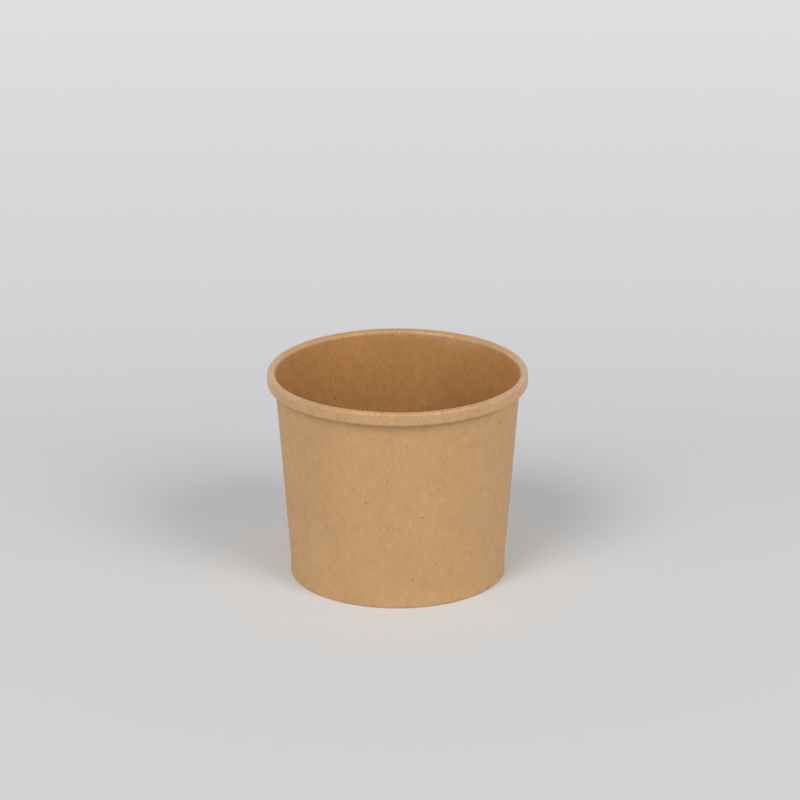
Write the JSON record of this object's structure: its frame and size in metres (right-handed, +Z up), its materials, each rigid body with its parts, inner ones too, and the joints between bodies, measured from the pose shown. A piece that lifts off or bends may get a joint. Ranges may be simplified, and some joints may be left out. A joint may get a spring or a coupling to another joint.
{
  "type": "paper ice cream tub",
  "caption": "Open round tub of unprinted kraft board: tapered wall with a rolled rim, a back lap seam and a hemmed foot that holds a flat base.",
  "frame": {"origin": "centre of the foot, on the surface that the tub stands on", "axes": "+Z up along the tub's axis, out of the mouth; +Y towards the back, where the lap seam is"},
  "size_m": [0.09, 0.09, 0.0736],
  "materials": {
    "kraft_wall": "uncoated brown kraft board, matt, fine upright fibres",
    "kraft_base": "brown kraft board, matt, thin clear lining on the food side"
  },
  "bodies": {
    "root": {"sidewall": "kraft_wall", "base": "kraft_base"}
  },
  "joints": []
}
